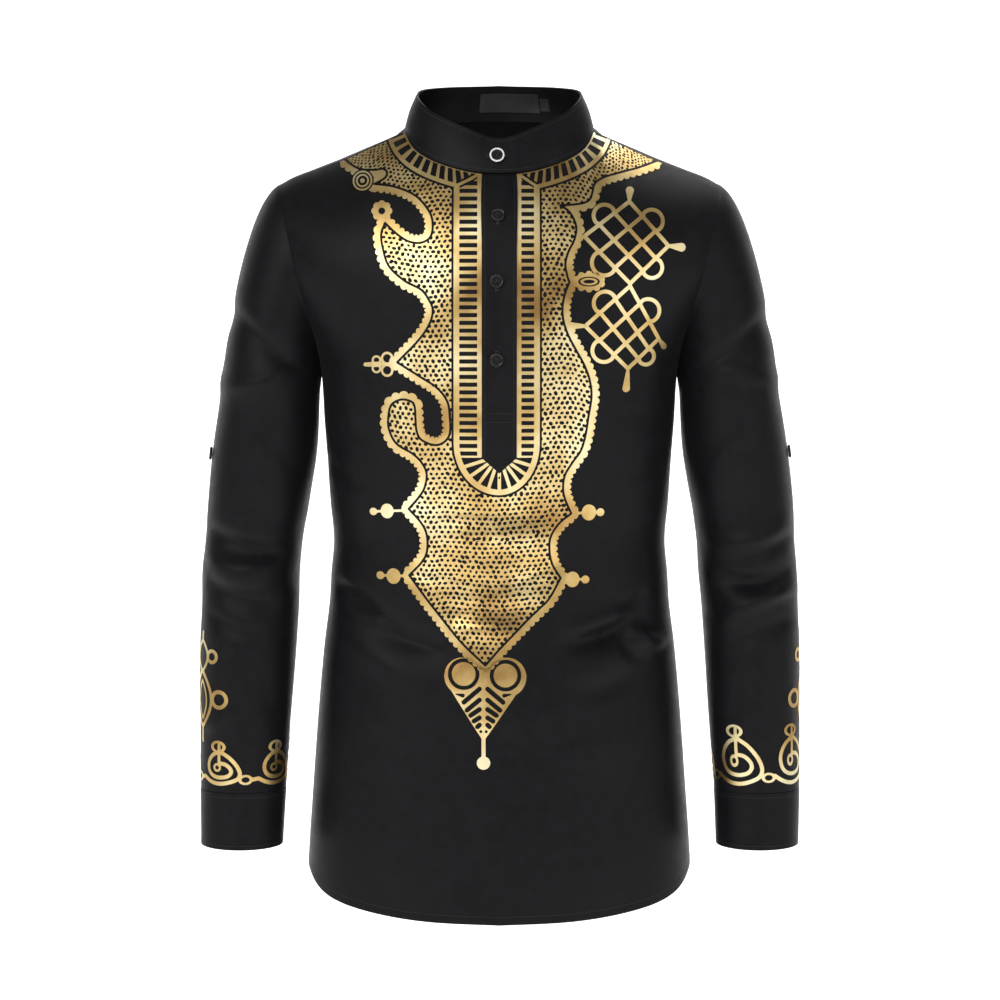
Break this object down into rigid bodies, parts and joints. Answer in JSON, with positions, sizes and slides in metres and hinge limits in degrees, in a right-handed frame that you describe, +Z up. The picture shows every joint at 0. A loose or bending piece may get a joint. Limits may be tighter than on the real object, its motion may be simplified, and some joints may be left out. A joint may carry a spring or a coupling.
{
  "type": "dashiki shirt",
  "caption": "Long-sleeved pull-on dashiki shirt with a band collar, half button placket, sleeve tab buttons and curved hem, filled out as if worn.",
  "frame": {"origin": "on the shirt's centre line, level with the neck side of the shoulder seams, where the wearer's shoulders carry it", "axes": "+Z up along the body, -Y to the front, +X to the side that is on the right when the front is seen"},
  "size_m": [0.6, 0.247, 0.8193],
  "materials": {
    "cloth": "black fine satin-faced cloth",
    "gold_foil": "pale gold foil printed on the cloth",
    "button": "polished black",
    "pearl_button": "polished white with a dark dished middle",
    "label": "black satin ribbon, bare",
    "thread": "black sewing thread"
  },
  "bodies": {
    "root": {"front": "cloth", "back": "cloth", "sleeve_left": "cloth", "sleeve_right": "cloth", "cuff_left": "cloth", "cuff_right": "cloth", "collar_band": "cloth", "placket": "cloth", "button_1": "button", "button_2": "button", "button_3": "button", "button_collar": "pearl_button", "tab_button_left": "button", "tab_button_right": "button", "cuff_button_left": "button", "cuff_button_right": "button", "neck_label": "label", "size_tag": "label"}
  },
  "joints": []
}
